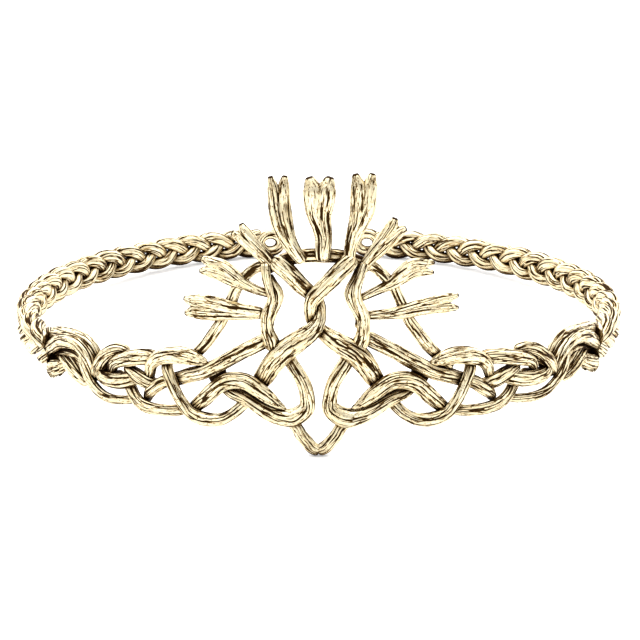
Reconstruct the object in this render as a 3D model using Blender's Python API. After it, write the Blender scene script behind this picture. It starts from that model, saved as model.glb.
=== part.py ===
"""A costume crown: an open-backed head ring of bark-grooved twigs, cast in metal.

Three castings meet end to end. The front panel is an openwork knot of interlaced
twigs with nine flared rays over it. A plaited side band runs back from each end of
the panel and stops in an open eye, a short way from the other band's eye.

Every twig is drawn on the flat sheet that the ring was before it was bent. On that
sheet x runs along the ring from its front middle, y runs into the ring and z is up.
The finished crown stands as it rests by itself, on the front tip and both back eyes.
"""
import math

import bmesh
import bpy
from mathutils import Matrix, Vector

# Ring, in metres
RING_RADIUS = 0.088        # middle of the metal, as bent
PANEL_LEFT_ARC = 0.0830    # from the front middle to the left seam, along the ring
PANEL_RIGHT_ARC = 0.0888   # from the front middle to the right seam, along the ring
SEAM_GAP = 0.0003          # between the panel's end and the band's
BACK_GAP = 0.0250          # between the two eyes at the back

# Front panel
MOTIF_RISE = 0.035         # from the ring's middle height up to the arch bar
PANEL_TWIG = 0.0040        # width of a twig whose girth is 1
PANEL_LAYER = 0.00125      # from the panel's middle depth to an over or under pass

# Side bands
BAND_TWIG = 0.0041         # width of each of a band's three twigs
BAND_HEIGHT = 0.0108       # top to bottom over the plait
BAND_LAYER = 0.00130       # from the band's middle depth to an over or under pass
PLAIT_PITCH = 0.028        # length in which one twig goes up and down once
PLAIT_TWIGS = 3
EYE_WIRE = 0.0040
EYE_LENGTH = 0.0120        # along the ring, over the eye
EYE_OVERLAP = 0.0026       # how far the plait runs into the eye

# Twig section and facets
FLATNESS = 0.85            # depth of a twig over its width
PANEL_SIDES = 6
BAND_SIDES = 6
ROW_STEPS = 6              # points between two rows of a panel table
PANEL_STEP = 0.0047        # longest facet along a panel twig
PANEL_TURN = 0.50          # most that a panel twig turns in one facet, in radians
PLAIT_STEPS = 8            # facets in one pitch of a band twig
EYE_STEPS = 14
SHORTEST_EDGE = 0.0002     # shorter ones, left where twigs cross, are closed up

# Twigs of the panel's left half; the right half mirrors them, apart from the three in
# RIGHT_TWIGS. Columns: across (share of PANEL_LEFT_ARC), up (share of MOTIF_RISE),
# layer (1 over, -1 under, in PANEL_LAYER) and girth (share of PANEL_TWIG).
HALF_TWIGS = {
    "teardrop": [
        (0.113, 0.375, -1.0, 0.77), (0.095, 0.290, -0.8, 0.80), (0.074, 0.205, -0.3, 0.84),
        (0.042, 0.076, 0.1, 0.84), (0.032, -0.052, 0.2, 0.91), (0.039, -0.110, 0.3, 1.04),
        (0.074, -0.167, 0.3, 1.17), (0.120, -0.158, 0.3, 1.02), (0.156, -0.124, 0.2, 0.90),
        (0.210, -0.052, 0.0, 0.82), (0.258, -0.018, -0.8, 0.80), (0.292, 0.043, -1.3, 0.79),
        (0.317, 0.110, -1.3, 0.74), (0.334, 0.180, -1.2, 0.72)],
    "wave": [
        (0.393, -0.193, -0.9, 0.73), (0.365, -0.126, -0.4, 0.83), (0.334, -0.060, 0.3, 0.92),
        (0.305, 0.010, 0.8, 0.95), (0.282, 0.058, 1.0, 0.97), (0.257, 0.089, 1.1, 1.04),
        (0.230, 0.099, 1.2, 1.03), (0.204, 0.089, 1.2, 1.03), (0.178, 0.048, 1.1, 0.97),
        (0.153, 0.005, 1.1, 0.90), (0.130, -0.041, 1.0, 0.71), (0.107, -0.080, 0.9, 0.39),
        (0.092, -0.097, 0.8, 0.18)],
    "slit_bridge": [
        (0.326, 0.052, -0.6, 0.52), (0.303, 0.100, -0.6, 0.52), (0.276, 0.150, -0.7, 0.52)],
    "slit_web": [
        (0.232, 0.034, -1.1, 0.42), (0.196, -0.008, -0.9, 0.50), (0.166, -0.060, -0.9, 0.50),
        (0.134, -0.106, -0.9, 0.42)],
    "long_diagonal": [
        (0.130, 0.400, -1.0, 0.90), (0.165, 0.357, -0.8, 0.90), (0.199, 0.316, -0.3, 0.90),
        (0.228, 0.279, 0.0, 0.90), (0.272, 0.214, 0.3, 0.91), (0.335, 0.130, 0.2, 0.91),
        (0.389, 0.080, -0.4, 0.92), (0.427, 0.042, -0.9, 0.86), (0.453, 0.024, -0.4, 0.83),
        (0.473, 0.012, 0.5, 0.80), (0.495, -0.026, 0.7, 0.82), (0.515, -0.064, 0.5, 0.82),
        (0.533, -0.104, -0.3, 0.74), (0.547, -0.148, -1.0, 0.62)],
    "side_wave": [
        (0.148, 0.926, 0.3, 0.57), (0.147, 0.861, 0.7, 0.57), (0.144, 0.800, 0.8, 0.54),
        (0.136, 0.733, 0.9, 0.46), (0.132, 0.678, 0.9, 0.46), (0.138, 0.621, 0.7, 0.57),
        (0.146, 0.556, 0.6, 0.67), (0.147, 0.493, 0.6, 0.70), (0.143, 0.438, 0.6, 0.76),
        (0.135, 0.380, 0.4, 0.89), (0.129, 0.309, -0.3, 0.83)],
    "side_wave_back": [
        (0.144, 0.837, -0.5, 0.51), (0.129, 0.780, -0.1, 0.51), (0.116, 0.734, 0.1, 0.54),
        (0.112, 0.686, 0.1, 0.54), (0.118, 0.637, 0.1, 0.51), (0.126, 0.589, 0.2, 0.46),
        (0.138, 0.525, 0.2, 0.51), (0.141, 0.455, 0.2, 0.57)],
    "frame_arc": [
        (0.133, 0.918, -0.8, 0.63), (0.157, 0.892, -0.8, 0.63), (0.180, 0.873, -0.8, 0.63),
        (0.201, 0.836, -0.8, 0.63), (0.222, 0.785, -0.8, 0.64), (0.241, 0.713, -0.9, 0.67),
        (0.257, 0.626, -0.9, 0.71), (0.272, 0.554, -0.9, 0.71), (0.288, 0.481, -0.8, 0.74),
        (0.313, 0.392, -0.7, 0.71), (0.339, 0.309, -0.6, 0.65), (0.361, 0.254, -0.5, 0.65),
        (0.390, 0.172, -0.7, 0.59)],
    "deep_loop": [
        (0.464, 0.212, -1.0, 0.60), (0.464, 0.164, -0.5, 0.66), (0.460, 0.116, 0.2, 0.73),
        (0.446, 0.053, 0.7, 0.73),
        (0.432, -0.014, 0.9, 0.73), (0.417, -0.079, 0.9, 0.73), (0.399, -0.136, 0.9, 0.73),
        (0.383, -0.182, 0.8, 0.79), (0.361, -0.206, 0.7, 0.86), (0.337, -0.218, 0.6, 0.88),
        (0.313, -0.220, 0.4, 0.86), (0.289, -0.211, 0.2, 0.79), (0.266, -0.186, -0.1, 0.72),
        (0.246, -0.152, -0.6, 0.72), (0.226, -0.104, -1.0, 0.72), (0.204, -0.050, -1.0, 0.70)],
    "top_over": [
        (0.535, 0.000, -0.6, 0.60), (0.522, 0.072, 0.1, 0.73), (0.512, 0.125, 0.6, 0.80),
        (0.494, 0.171, 0.9, 0.86), (0.471, 0.203, 1.1, 0.99), (0.439, 0.228, 1.2, 1.10),
        (0.406, 0.238, 1.2, 1.10), (0.375, 0.231, 1.1, 0.98), (0.346, 0.213, 0.9, 0.65),
        (0.322, 0.200, 0.7, 0.26)],
    "top_mid": [
        (0.678, -0.004, -0.2, 0.62), (0.657, 0.073, 0.5, 0.75), (0.626, 0.117, 0.9, 0.88),
        (0.592, 0.146, 1.0, 1.00), (0.560, 0.168, 0.8, 1.00), (0.532, 0.177, 0.3, 1.00),
        (0.515, 0.173, -0.4, 0.93), (0.495, 0.152, -0.9, 0.80)],
    "top_end": [
        (0.758, -0.076, -0.4, 0.77), (0.730, 0.022, 0.4, 0.83), (0.705, 0.090, 0.7, 0.82),
        (0.679, 0.147, 0.6, 0.82), (0.654, 0.180, 0.2, 0.81), (0.634, 0.185, -0.4, 0.74),
        (0.609, 0.170, -0.9, 0.68)],
    "short_cross": [
        (0.623, 0.064, -0.7, 0.76), (0.596, 0.044, 0.0, 0.88), (0.568, 0.025, 0.4, 0.96),
        (0.542, 0.002, 0.5, 0.96), (0.520, -0.020, 0.0, 0.86), (0.496, -0.036, -0.9, 0.72)],
    "inner_bar": [
        (0.664, 0.082, -0.6, 0.60), (0.694, 0.064, -0.6, 0.68), (0.718, 0.022, -0.5, 0.82),
        (0.722, -0.024, -0.1, 0.90), (0.703, -0.051, 0.4, 0.92), (0.667, -0.052, 0.6, 0.98),
        (0.625, -0.037, 0.6, 0.98), (0.592, -0.010, 0.1, 0.92), (0.569, 0.009, -0.6, 0.80)],
    "low_under": [
        (0.620, -0.062, -0.8, 0.70), (0.601, -0.102, -0.3, 0.78), (0.583, -0.140, 0.2, 0.78),
        (0.561, -0.172, 0.6, 0.78), (0.536, -0.191, 0.7, 0.78), (0.507, -0.200, 0.6, 0.76),
        (0.467, -0.197, 0.4, 0.73), (0.433, -0.188, 0.0, 0.73), (0.409, -0.182, -0.8, 0.67)],
    "low_end": [
        (0.836, 0.066, -0.9, 0.56), (0.821, 0.015, -0.4, 0.63), (0.793, -0.049, 0.3, 0.70),
        (0.769, -0.104, 0.6, 0.70), (0.735, -0.160, 0.7, 0.69), (0.702, -0.193, 0.6, 0.66),
        (0.667, -0.202, 0.3, 0.62), (0.621, -0.190, -0.3, 0.58), (0.591, -0.170, -0.8, 0.54)],
    "end_over": [
        (1.075, -0.063, 0.3, 0.90), (0.986, 0.042, 0.6, 0.92), (0.914, 0.124, 0.8, 0.96),
        (0.858, 0.153, 0.9, 0.96), (0.810, 0.148, 0.9, 0.95), (0.775, 0.094, 0.7, 0.90),
        (0.760, 0.012, 0.2, 0.84), (0.762, -0.074, -0.6, 0.72)],
    "end_under": [
        (0.961, -0.033, -0.7, 0.66), (0.917, -0.051, -0.1, 0.73), (0.874, -0.078, 0.4, 0.72),
        (0.844, -0.116, 0.3, 0.67), (0.818, -0.144, 0.0, 0.60), (0.804, -0.165, -0.8, 0.54)],
    "end_foot": [
        (1.103, -0.175, 0.3, 0.92), (1.021, -0.146, 0.5, 1.00), (0.960, -0.108, 0.5, 0.98),
        (0.926, -0.074, -0.2, 0.80), (0.900, -0.036, -0.9, 0.62)],
    "end_inner": [
        (0.938, 0.030, -1.1, 0.58), (0.886, -0.014, -0.9, 0.66), (0.853, -0.060, -0.8, 0.66),
        (0.826, -0.112, -0.9, 0.60), (0.800, -0.155, -1.1, 0.54)],
    "end_top": [
        (1.056, 0.065, -0.6, 0.84), (0.982, 0.140, -0.5, 0.90), (0.915, 0.169, -0.4, 0.90),
        (0.854, 0.185, -0.4, 0.88), (0.802, 0.176, -0.5, 0.85), (0.771, 0.140, -0.7, 0.78),
        (0.757, 0.080, -1.0, 0.68), (0.750, 0.020, -1.2, 0.60)],
    "end_back": [
        (1.149, -0.190, -1.0, 0.84), (1.045, -0.087, -1.2, 0.88), (0.961, -0.012, -1.2, 0.88),
        (0.892, 0.018, -1.2, 0.80), (0.846, -0.004, -1.2, 0.74), (0.814, -0.058, -1.2, 0.72),
        (0.761, -0.076, -1.1, 0.72), (0.694, -0.051, -1.1, 0.72), (0.640, -0.020, -1.1, 0.70)],
    "tip_leg": [
        (0.085, -0.198, -0.8, 0.65), (0.063, -0.250, -0.2, 0.72), (0.051, -0.298, 0.0, 0.76),
        (0.034, -0.347, 0.0, 0.78), (0.017, -0.391, 0.0, 0.79), (-0.007, -0.414, 0.1, 0.70)],
}

# Twigs that differ on the right half, in the same columns.
RIGHT_TWIGS = {
    "side_wave": [
        (0.132, 0.927, 0.3, 0.50), (0.120, 0.863, 0.7, 0.50), (0.112, 0.803, 0.8, 0.50),
        (0.106, 0.742, 0.9, 0.50), (0.107, 0.680, 0.9, 0.50), (0.117, 0.622, 0.7, 0.57),
        (0.127, 0.558, 0.6, 0.67), (0.126, 0.495, 0.6, 0.73), (0.125, 0.439, 0.6, 0.83),
        (0.120, 0.381, 0.4, 0.96), (0.110, 0.311, -0.3, 0.83)],
    "side_wave_back": [
        (0.120, 0.880, -0.5, 0.57), (0.103, 0.801, -0.2, 0.57), (0.090, 0.749, 0.0, 0.57),
        (0.085, 0.701, 0.1, 0.57), (0.093, 0.646, 0.1, 0.54), (0.105, 0.590, 0.2, 0.51),
        (0.117, 0.527, 0.2, 0.57), (0.114, 0.457, 0.2, 0.64)],
    "frame_arc": [
        (0.126, 0.932, -0.8, 0.63), (0.147, 0.896, -0.8, 0.63), (0.170, 0.860, -0.8, 0.63),
        (0.194, 0.802, -0.8, 0.64), (0.215, 0.745, -0.8, 0.64), (0.231, 0.672, -0.9, 0.64),
        (0.247, 0.593, -0.9, 0.67), (0.266, 0.498, -0.9, 0.71), (0.290, 0.417, -0.8, 0.74),
        (0.319, 0.326, -0.7, 0.75), (0.348, 0.249, -0.6, 0.69), (0.377, 0.185, -0.5, 0.66),
        (0.406, 0.124, -0.7, 0.59)],
}

# Twigs that cross the middle; same columns, with across left of the middle as minus.
MIDDLE_TWIGS = {
    "twist_from_left": [
        (-0.132, 0.946, -0.1, 1.00), (-0.114, 0.918, 0.2, 1.06), (-0.094, 0.880, 0.3, 1.08),
        (-0.067, 0.812, 0.0, 1.04), (-0.045, 0.754, -0.4, 1.00), (-0.025, 0.708, -0.9, 0.90),
        (-0.006, 0.665, -1.0, 0.76), (0.004, 0.622, -0.6, 0.68), (0.005, 0.574, 0.3, 0.66),
        (0.000, 0.524, 0.8, 0.76), (-0.018, 0.464, 1.1, 1.02), (-0.044, 0.414, 1.1, 1.22),
        (-0.072, 0.363, 1.0, 1.32), (-0.095, 0.317, 0.8, 1.34), (-0.117, 0.260, 0.3, 1.32),
        (-0.140, 0.187, -0.3, 1.24), (-0.160, 0.112, -0.8, 1.14), (-0.178, 0.050, -1.0, 1.00)],
    "twist_from_right": [
        (0.101, 0.969, 0.2, 0.94), (0.076, 0.912, 0.6, 1.06), (0.053, 0.860, 0.8, 1.03),
        (0.031, 0.807, 0.9, 1.00), (0.009, 0.754, 1.0, 0.97), (-0.012, 0.699, 1.0, 0.94),
        (-0.022, 0.650, 0.8, 0.80), (-0.024, 0.598, 0.5, 0.72), (-0.022, 0.543, -0.3, 0.70),
        (-0.010, 0.486, -0.8, 0.74), (0.008, 0.442, -1.0, 0.83), (0.030, 0.405, -0.4, 1.04),
        (0.055, 0.368, 0.1, 1.22), (0.094, 0.311, 0.3, 1.30), (0.117, 0.258, 0.1, 1.32),
        (0.140, 0.187, -0.3, 1.24), (0.160, 0.112, -0.8, 1.14), (0.178, 0.050, -1.0, 1.00)],
    "arch_bar": [
        (-0.155, 0.850, -1.0, 0.66), (-0.116, 0.916, -1.0, 0.74), (-0.059, 0.956, -1.0, 0.80),
        (0.000, 0.964, -1.0, 0.82), (0.059, 0.956, -1.0, 0.80), (0.116, 0.916, -1.0, 0.74),
        (0.150, 0.860, -1.0, 0.66)],
}

# Rays, from root to tip; same columns, girth over both lobes.
RAYS = {
    "ray_middle": [
        (0.012, 0.934, 0.5, 0.81), (0.012, 1.015, 0.6, 0.94), (0.014, 1.095, 0.5, 0.98),
        (0.008, 1.174, 0.3, 1.15), (0.002, 1.246, 0.1, 1.40), (0.002, 1.325, 0.0, 1.70),
        (0.003, 1.404, 0.0, 1.85), (0.003, 1.496, 0.0, 1.76)],
    "ray_upright_left": [
        (-0.041, 0.926, 0.4, 0.66), (-0.068, 1.013, 0.5, 0.80), (-0.089, 1.106, 0.4, 1.06),
        (-0.102, 1.211, 0.2, 1.28), (-0.109, 1.309, 0.0, 1.33), (-0.111, 1.409, 0.0, 1.30),
        (-0.113, 1.500, 0.0, 1.25)],
    "ray_upright_right": [
        (0.086, 0.917, 0.4, 0.60), (0.087, 1.012, 0.5, 0.70), (0.097, 1.112, 0.4, 0.90),
        (0.113, 1.211, 0.2, 1.21), (0.123, 1.309, 0.0, 1.49), (0.125, 1.408, 0.0, 1.55),
        (0.125, 1.515, 0.0, 1.42)],
    "ray_high_left": [
        (-0.126, 0.897, -0.1, 0.69), (-0.151, 0.960, 0.0, 0.85), (-0.182, 1.029, 0.0, 0.96),
        (-0.210, 1.094, 0.0, 1.08), (-0.232, 1.146, 0.0, 1.16)],
    "ray_high_right": [
        (0.125, 0.890, -0.1, 0.60), (0.147, 0.957, 0.0, 0.76), (0.175, 1.030, 0.0, 1.00),
        (0.203, 1.109, 0.0, 1.22), (0.231, 1.180, 0.0, 1.34)],
    "ray_side_left": [
        (-0.130, 0.698, -0.4, 0.44), (-0.147, 0.707, -0.3, 0.50), (-0.182, 0.730, -0.3, 0.58),
        (-0.216, 0.766, -0.2, 0.74), (-0.245, 0.807, 0.0, 1.08), (-0.277, 0.851, 0.0, 1.28),
        (-0.310, 0.870, 0.0, 1.24), (-0.342, 0.882, 0.0, 1.14)],
    "ray_side_right": [
        (0.106, 0.668, -0.4, 0.40), (0.126, 0.681, -0.3, 0.46), (0.169, 0.726, -0.3, 0.58),
        (0.207, 0.765, -0.2, 0.72), (0.240, 0.825, 0.0, 1.08), (0.270, 0.863, 0.0, 1.18),
        (0.300, 0.866, 0.0, 1.00), (0.334, 0.862, 0.0, 0.88)],
    "ray_low_left": [
        (-0.156, 0.565, -0.2, 0.66), (-0.197, 0.569, -0.1, 0.89), (-0.232, 0.570, 0.0, 1.05),
        (-0.268, 0.577, 0.0, 1.28), (-0.310, 0.584, 0.0, 1.52), (-0.354, 0.586, 0.0, 1.52),
        (-0.396, 0.582, 0.0, 1.32)],
    "ray_low_right": [
        (0.130, 0.552, -0.4, 0.48), (0.155, 0.555, -0.2, 0.54), (0.199, 0.558, -0.1, 0.66),
        (0.243, 0.570, 0.0, 0.88), (0.287, 0.588, 0.0, 1.00), (0.330, 0.601, 0.0, 1.12),
        (0.374, 0.606, 0.0, 1.24), (0.414, 0.609, 0.0, 1.14)],
}

# How each ray splits in two lobes. Columns: along (share of the ray), width (share of
# the ray's width there) and offset from its middle line (share of its half width).
RAY_LOBES = [
    (0.00, 0.92, 0.08), (0.35, 0.74, 0.26), (0.70, 0.62, 0.38), (0.87, 0.56, 0.44),
    (1.00, 0.28, 0.70)]


def clear_scene():
    for old in list(bpy.data.objects):
        bpy.data.objects.remove(old, do_unlink=True)


def new_collection(name):
    group = bpy.data.collections.new(name)
    bpy.context.scene.collection.children.link(group)
    return group


def metal(name, colour, roughness):
    """A metallic material for one casting."""
    material = bpy.data.materials.new(name)
    material.use_nodes = True
    shader = material.node_tree.nodes["Principled BSDF"]
    shader.inputs["Base Color"].default_value = (*colour, 1.0)
    shader.inputs["Metallic"].default_value = 1.0
    shader.inputs["Roughness"].default_value = roughness
    return material


def bend(point):
    """A point of the flat sheet, moved to its place on the ring."""
    angle = point.x / RING_RADIUS
    radius = RING_RADIUS - point.y
    return Vector((radius * math.sin(angle), -radius * math.cos(angle), point.z))


def smooth_course(rows, steps):
    """Points of a smooth curve through the rows, with the same number of steps in each."""
    course = []
    for index in range(len(rows) - 1):
        before = rows[max(index - 1, 0)]
        start = rows[index]
        end = rows[index + 1]
        after = rows[min(index + 2, len(rows) - 1)]
        for step in range(steps):
            t = step / steps
            course.append(
                0.5 * (2 * start + t * (end - before)
                       + t * t * (2 * before - 5 * start + 4 * end - after)
                       + t ** 3 * (3 * start - before - 3 * end + after)))
    course.append(rows[-1])
    return course


def thin_course(course):
    """The points that keep each facet within PANEL_STEP and PANEL_TURN."""
    kept = [course[0]]
    length = 0.0
    turned = 0.0
    for before, here, after in zip(course, course[1:], course[2:]):
        length += (here.xyz - before.xyz).length
        turned += (here.xyz - before.xyz).angle(after.xyz - here.xyz)
        if length + (after.xyz - here.xyz).length > PANEL_STEP or turned > PANEL_TURN:
            kept.append(here)
            length = 0.0
            turned = 0.0
    if (course[-1].xyz - kept[-1].xyz).length < PANEL_STEP / 4 and len(kept) > 2:
        kept.pop()
    kept.append(course[-1])
    return kept


def twig_mesh(name, course, width, sides, closed=False):
    """A bent twig through a course of (x, y, z, girth) points on the flat sheet."""
    curve = bpy.data.curves.new(name, "CURVE")
    curve.dimensions = "3D"
    curve.bevel_depth = width / 2
    curve.bevel_resolution = (sides - 4) // 2
    curve.use_fill_caps = not closed
    spline = curve.splines.new("POLY")
    spline.points.add(len(course) - 1)
    spline.use_cyclic_u = closed
    for point, place in zip(spline.points, course):
        point.co = (place.x, place.y / FLATNESS, place.z, 1.0)
        point.radius = place.w
    holder = bpy.data.objects.new(name, curve)
    bpy.context.scene.collection.objects.link(holder)
    ready = holder.evaluated_get(bpy.context.evaluated_depsgraph_get())
    mesh = bpy.data.meshes.new_from_object(ready)
    bpy.data.objects.remove(holder, do_unlink=True)
    bpy.data.curves.remove(curve)
    shape = bmesh.new()
    shape.from_mesh(mesh)
    bmesh.ops.remove_doubles(shape, verts=shape.verts, dist=1e-6)
    for vert in shape.verts:
        vert.co.y *= FLATNESS
        vert.co = bend(vert.co)
    bmesh.ops.triangulate(shape, faces=shape.faces)
    bmesh.ops.recalc_face_normals(shape, faces=shape.faces)
    shape.to_mesh(mesh)
    shape.free()
    return mesh


def panel_rows(table, side=1):
    """Rows of a panel table as points on the flat sheet; side -1 mirrors them."""
    rows = []
    for across, up, layer, girth in table:
        x = side * across * PANEL_LEFT_ARC
        if x > 0:
            # The right end is drawn out to its seam, from halfway along the left one
            share = min(max((side * across - 0.5) / 0.3, 0.0), 1.0)
            x += share * (PANEL_RIGHT_ARC - PANEL_LEFT_ARC)
        rows.append(Vector((x, -layer * PANEL_LAYER, up * MOTIF_RISE, girth)))
    return rows


def lobe_share(along):
    """Width and offset of a ray lobe, as shares of the ray's width and half width."""
    for start, end in zip(RAY_LOBES, RAY_LOBES[1:]):
        if along <= end[0]:
            t = (along - start[0]) / (end[0] - start[0])
            return start[1] + t * (end[1] - start[1]), start[2] + t * (end[2] - start[2])
    return RAY_LOBES[-1][1:]


def lobe_course(course, lobe):
    """Course of one of the two lobes of a ray; lobe is 1 or -1."""
    lengths = [0.0]
    for before, after in zip(course, course[1:]):
        lengths.append(lengths[-1] + (after.xyz - before.xyz).length)
    places = []
    for index, place in enumerate(course):
        along = lengths[index] / lengths[-1]
        width, offset = lobe_share(along)
        forward = course[min(index + 1, len(course) - 1)] - course[max(index - 1, 0)]
        aside = Vector((forward.z, 0.0, -forward.x)).normalized()
        aside *= lobe * offset * place.w * PANEL_TWIG / 2
        places.append(Vector((*(place.xyz + aside), place.w * width)))
    return places


def plait_course(start, end, number):
    """Course of one of a band's twigs between two places along the ring."""
    rise = (BAND_HEIGHT - BAND_TWIG) / 2
    count = round((end - start) / PLAIT_PITCH * PLAIT_STEPS)
    course = []
    for step in range(count + 1):
        x = start + (end - start) * step / count
        phase = 2 * math.pi * ((x - start) / PLAIT_PITCH + number / PLAIT_TWIGS)
        course.append(Vector((x, -BAND_LAYER * math.sin(2 * phase), rise * math.sin(phase), 1.0)))
    return course


def eye_course(middle):
    """Course of the open eye that ends a band."""
    half_length = (EYE_LENGTH - EYE_WIRE) / 2
    half_height = (BAND_HEIGHT - EYE_WIRE) / 2
    course = []
    for step in range(EYE_STEPS):
        turn = 2 * math.pi * step / EYE_STEPS
        course.append(
            Vector((middle + half_length * math.cos(turn), 0.0, half_height * math.sin(turn), 1.0)))
    return course


def seam_block(name, place, outward, group):
    """A cutter for what lies past a place along the ring; outward is 1 or -1."""
    size = RING_RADIUS
    bpy.ops.mesh.primitive_cube_add(size=1)
    block = bpy.context.object
    block.name = name
    for vert in block.data.vertices:
        vert.co *= size
        vert.co.x += outward * size / 2
    angle = place / RING_RADIUS
    block.rotation_euler = (0, 0, angle)
    block.location = bend(Vector((place, 0, 0)))
    block.hide_render = True
    block.display_type = "WIRE"
    for owner in list(block.users_collection):
        owner.objects.unlink(block)
    group.objects.link(block)
    return block


def stays_flat(vert, other, place):
    """Whether no face round vert, apart from those it shares with other, turns over."""
    for face in vert.link_faces:
        if other in face.verts:
            continue
        corners = [place if corner is vert else corner.co for corner in face.verts]
        turned = (corners[1] - corners[0]).cross(corners[2] - corners[0])
        if turned.length == 0 or turned.normalized().dot(face.normal) < 0.7:
            return False
    return True


def close_short_edges(mesh):
    """Close up the short edges of a closed mesh, where that keeps it closed."""
    shape = bmesh.new()
    shape.from_mesh(mesh)
    bmesh.ops.triangulate(shape, faces=shape.faces)
    shape.normal_update()
    short = sorted(
        (edge for edge in shape.edges if edge.calc_length() < SHORTEST_EDGE),
        key=lambda edge: edge.calc_length())
    for edge in short:
        if not edge.is_valid or edge.calc_length() >= SHORTEST_EDGE:
            continue
        first, second = edge.verts
        around = [{near.other_vert(vert) for near in vert.link_edges} for vert in edge.verts]
        middle = (first.co + second.co) / 2
        if len(around[0] & around[1]) != 2:
            continue
        if stays_flat(first, second, middle) and stays_flat(second, first, middle):
            bmesh.ops.pointmerge(shape, verts=[first, second], merge_co=middle)
            shape.normal_update()
    shape.to_mesh(mesh)
    shape.free()


def fuse(name, meshes, cuts, material, parts, cutters):
    """One casting: the first mesh, joined with the others and cut at its seams."""
    others = bpy.data.collections.new(f"{name}_twigs")
    cutters.children.link(others)
    for number, mesh in enumerate(meshes[1:]):
        twig = bpy.data.objects.new(f"{name}_twig_{number}", mesh)
        twig.hide_render = True
        twig.display_type = "WIRE"
        others.objects.link(twig)
    casting = bpy.data.objects.new(name, meshes[0])
    casting.data.materials.append(material)
    parts.objects.link(casting)
    union = casting.modifiers.new("join_twigs", "BOOLEAN")
    union.operation = "UNION"
    union.operand_type = "COLLECTION"
    union.collection = others
    for block in cuts:
        cut = casting.modifiers.new("cut_seam", "BOOLEAN")
        cut.operation = "DIFFERENCE"
        cut.object = block
    ready = casting.evaluated_get(bpy.context.evaluated_depsgraph_get())
    finished = bpy.data.meshes.new_from_object(ready)
    casting.modifiers.clear()
    close_short_edges(finished)
    casting.data = finished
    casting.data.name = name
    casting.data.shade_smooth()
    casting.data.set_sharp_from_angle(angle=math.radians(50))
    for twig in list(others.objects):
        bpy.data.objects.remove(twig, do_unlink=True)
    bpy.data.collections.remove(others)
    return casting


def panel_meshes():
    """Every twig and ray lobe of the front panel."""
    meshes = []

    def add(name, course):
        meshes.append(twig_mesh(name, thin_course(course), PANEL_TWIG, PANEL_SIDES))

    for name, table in MIDDLE_TWIGS.items():
        add(name, smooth_course(panel_rows(table), ROW_STEPS))
    for name, table in HALF_TWIGS.items():
        add(name, smooth_course(panel_rows(table, -1), ROW_STEPS))
        add(name, smooth_course(panel_rows(RIGHT_TWIGS.get(name, table)), ROW_STEPS))
    for name, table in RAYS.items():
        course = smooth_course(panel_rows(table), ROW_STEPS)
        for lobe in (-1, 1):
            add(name, lobe_course(course, lobe))
    return meshes


def band_meshes(side):
    """The plaited twigs and the eye of one side band."""
    seam = PANEL_RIGHT_ARC if side > 0 else PANEL_LEFT_ARC
    back = math.pi * RING_RADIUS - BACK_GAP / 2
    eye_front = back - EYE_LENGTH
    meshes = []
    for number in range(PLAIT_TWIGS):
        course = plait_course(seam - BAND_TWIG, eye_front + EYE_OVERLAP, number)
        for place in course:
            place.x *= side
        meshes.append(twig_mesh("band_twig", course, BAND_TWIG, BAND_SIDES))
    eye = eye_course(side * (back - EYE_LENGTH / 2))
    meshes.append(twig_mesh("band_eye", eye, EYE_WIRE, PANEL_SIDES, closed=True))
    return meshes


def rest_on_floor(castings):
    """Tilt the crown onto its front tip and back eyes, middle of its box over the origin."""
    tip_up, _, tip_girth = HALF_TWIGS["tip_leg"][-1][1:]
    tip_drop = -tip_up * MOTIF_RISE + tip_girth * PANEL_TWIG / 2
    tilt = math.atan2(tip_drop - BAND_HEIGHT / 2, 2 * RING_RADIUS)
    turn = Matrix.Rotation(-tilt, 4, "X")
    for casting in castings:
        casting.data.transform(turn)
    corners = [vert.co for casting in castings for vert in casting.data.vertices]
    middle = [(min(c[axis] for c in corners) + max(c[axis] for c in corners)) / 2 for axis in (0, 1)]
    lowest = min(corner.z for corner in corners)
    for casting in castings:
        casting.data.transform(Matrix.Translation((-middle[0], -middle[1], -lowest)))


def build():
    clear_scene()
    parts = new_collection("costume_crown")
    cutters = new_collection("crown_cutters")
    gold = metal("antique_gold", (0.62, 0.47, 0.22), 0.34)
    band_gold = metal("antique_gold_band", (0.62, 0.47, 0.22), 0.34)
    half_gap = SEAM_GAP / 2
    castings = []
    cuts = [
        seam_block("panel_left_end", -PANEL_LEFT_ARC + half_gap, -1, cutters),
        seam_block("panel_right_end", PANEL_RIGHT_ARC - half_gap, 1, cutters)]
    castings.append(fuse("front_panel", panel_meshes(), cuts, gold, parts, cutters))
    for name, side, seam in (
            ("left_band", -1, PANEL_LEFT_ARC), ("right_band", 1, PANEL_RIGHT_ARC)):
        cut = seam_block(f"{name}_end", side * (seam + half_gap), -side, cutters)
        castings.append(fuse(name, band_meshes(side), [cut], band_gold, parts, cutters))
    rest_on_floor(castings)


build()
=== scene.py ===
"""The looks of the costume crown: bark-grooved twigs in antiqued gold, on a pale floor.

Each twig is swept again along the course that the solids have, with many more facets,
grooves that wander along it and a worn, rounded end. All sizes are in metres.
"""
import math

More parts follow.
